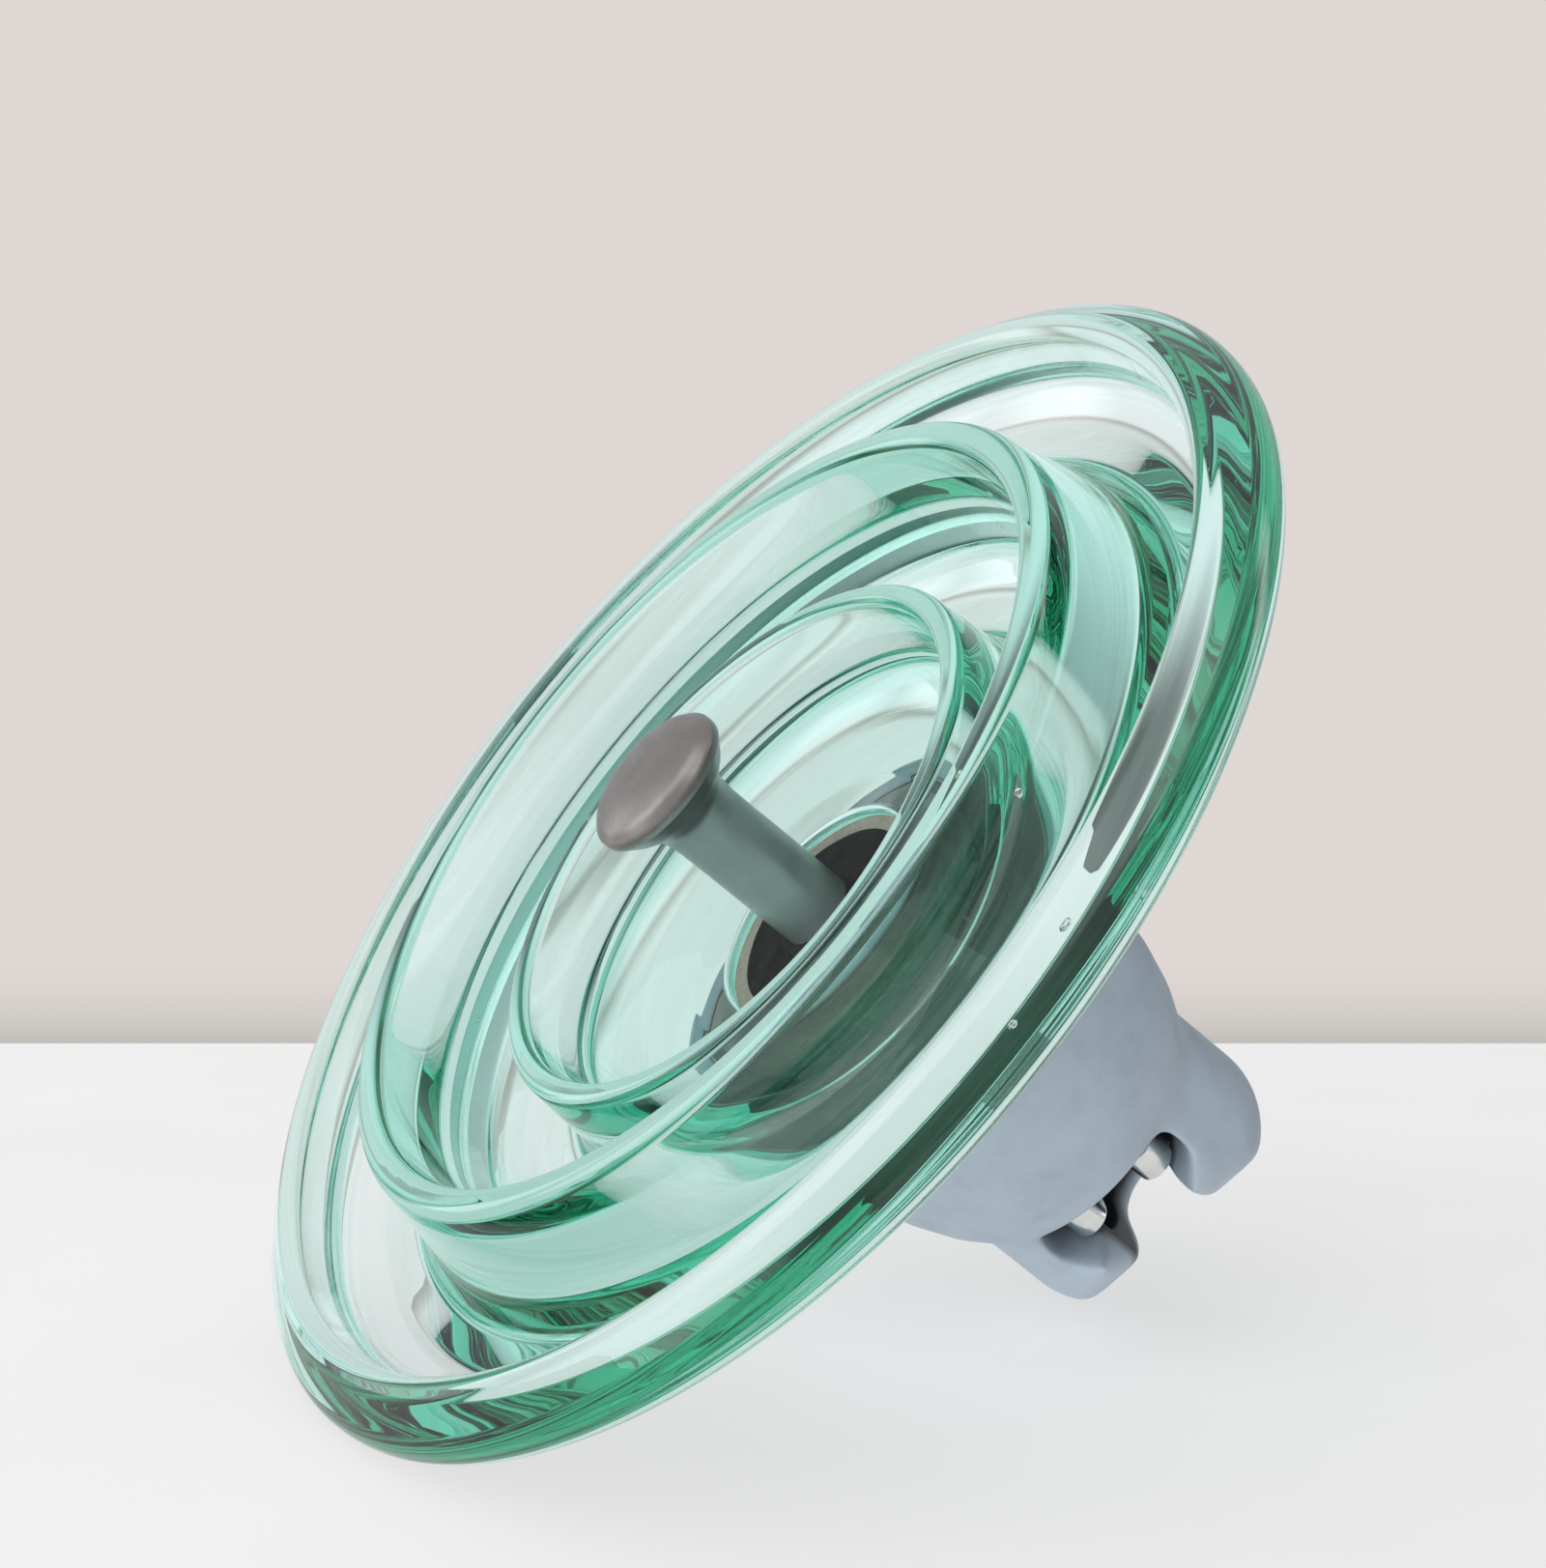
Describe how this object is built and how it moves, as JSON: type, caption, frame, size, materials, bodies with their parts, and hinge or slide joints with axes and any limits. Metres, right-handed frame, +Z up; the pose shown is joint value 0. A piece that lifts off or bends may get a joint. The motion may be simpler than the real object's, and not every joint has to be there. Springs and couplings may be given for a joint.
{
  "type": "cap-and-pin glass suspension insulator",
  "caption": "Toughened glass disc insulator with ribs under its skirt, a cast ball-socket cap with a sliding locking clip, and a forged ball-ended pin.",
  "frame": {"origin": "centre of the mating ball when it is seated in the cap's socket", "axes": "+Z up along the insulator's axis, cap upwards and pin downwards, as it hangs in use; -Y out of the socket's side entry; +X completes a right-handed frame"},
  "size_m": [0.28, 0.28, 0.1659],
  "materials": {
    "toughened_glass": "clear pale green moulded glass, darker green along thick edges",
    "galvanised_iron": "hot-dip galvanised casting, matt blue-grey",
    "galvanised_steel": "hot-dip galvanised forging, dull grey with a brown-grey ball face",
    "cement": "matt cement mortar",
    "cushion": "compressed cork and bitumen",
    "bitumen": "black bitumen paint",
    "spring_steel": "bright stainless spring strip"
  },
  "bodies": {
    "insulator": {"glass_shell": "toughened_glass", "cap": "galvanised_iron", "ball_pin": "galvanised_steel", "cap_cement": "cement", "pin_cement": "cement", "cap_cushion": "cushion", "pin_cushion": "cushion", "cap_lining": "bitumen", "pin_lining": "bitumen", "cement_seal": "bitumen"},
    "clip": {"locking_clip": "spring_steel"}
  },
  "joints": [
    {"name": "clip_slide", "type": "slide", "parent": "insulator", "child": "clip", "axis": [0, 1, 0], "range_m": [0, 0.04]}
  ]
}
